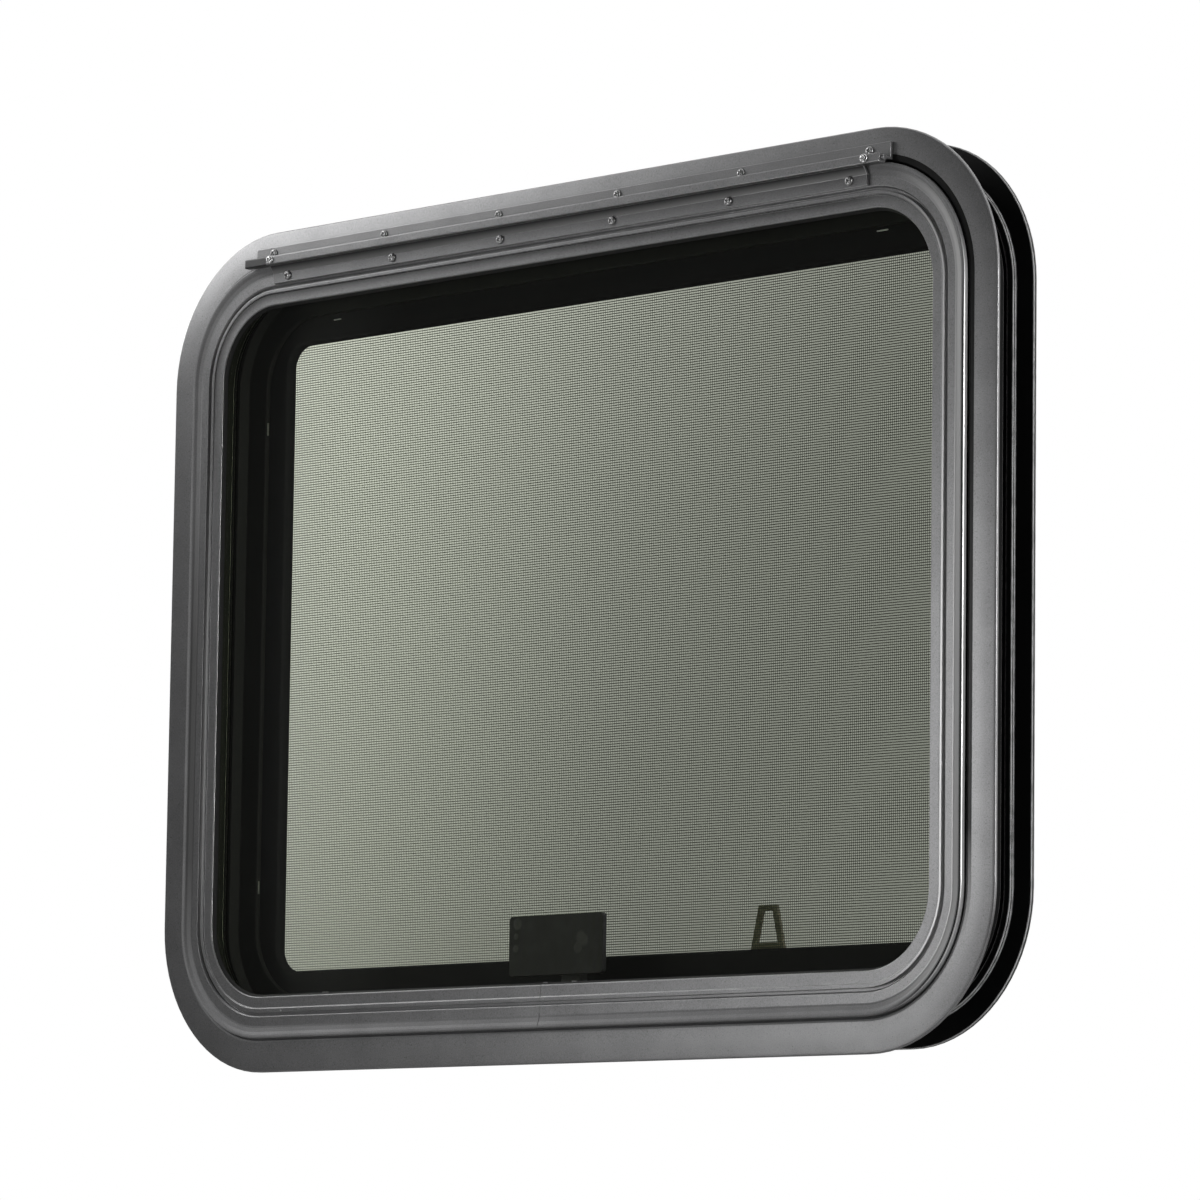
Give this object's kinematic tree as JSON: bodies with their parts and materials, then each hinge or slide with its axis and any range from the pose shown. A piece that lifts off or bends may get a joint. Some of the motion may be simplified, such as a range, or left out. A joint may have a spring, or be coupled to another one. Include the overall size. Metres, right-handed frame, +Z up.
{
  "type": "caravan window",
  "caption": "Top-hung caravan window with a grey aluminium frame, tinted glass, a long hinge, a black inner clamp ring and an insect screen.",
  "frame": {"origin": "middle of the opening, on the back face of the outer flange, which lies on the caravan's outer skin", "axes": "+X to the right seen from outside, +Y from outside into the caravan, +Z up"},
  "size_m": [0.64, 0.0576, 0.49],
  "materials": {
    "grey_aluminium": "satin powder coat",
    "black_aluminium": "satin powder coat",
    "tinted_glass": "polished, tinted",
    "black_rubber": "matte",
    "mesh_cloth": "woven",
    "black_plastic": "fine texture",
    "loop_plastic": "matte"
  },
  "bodies": {
    "root": {"outer_frame": "grey_aluminium", "sash_frame": "grey_aluminium", "hinge_upper_leaf": "grey_aluminium", "hinge_lower_leaf": "grey_aluminium", "glass_pane": "tinted_glass", "glazing_bed": "black_rubber", "weather_seal": "black_rubber", "clamp_ring": "black_aluminium", "screen_frame": "black_aluminium", "insect_mesh": "mesh_cloth", "screen_spline": "black_rubber", "screen_clips": "black_plastic", "pull_loop": "loop_plastic", "latch_base": "black_plastic", "latch_lever": "black_plastic"}
  },
  "joints": []
}
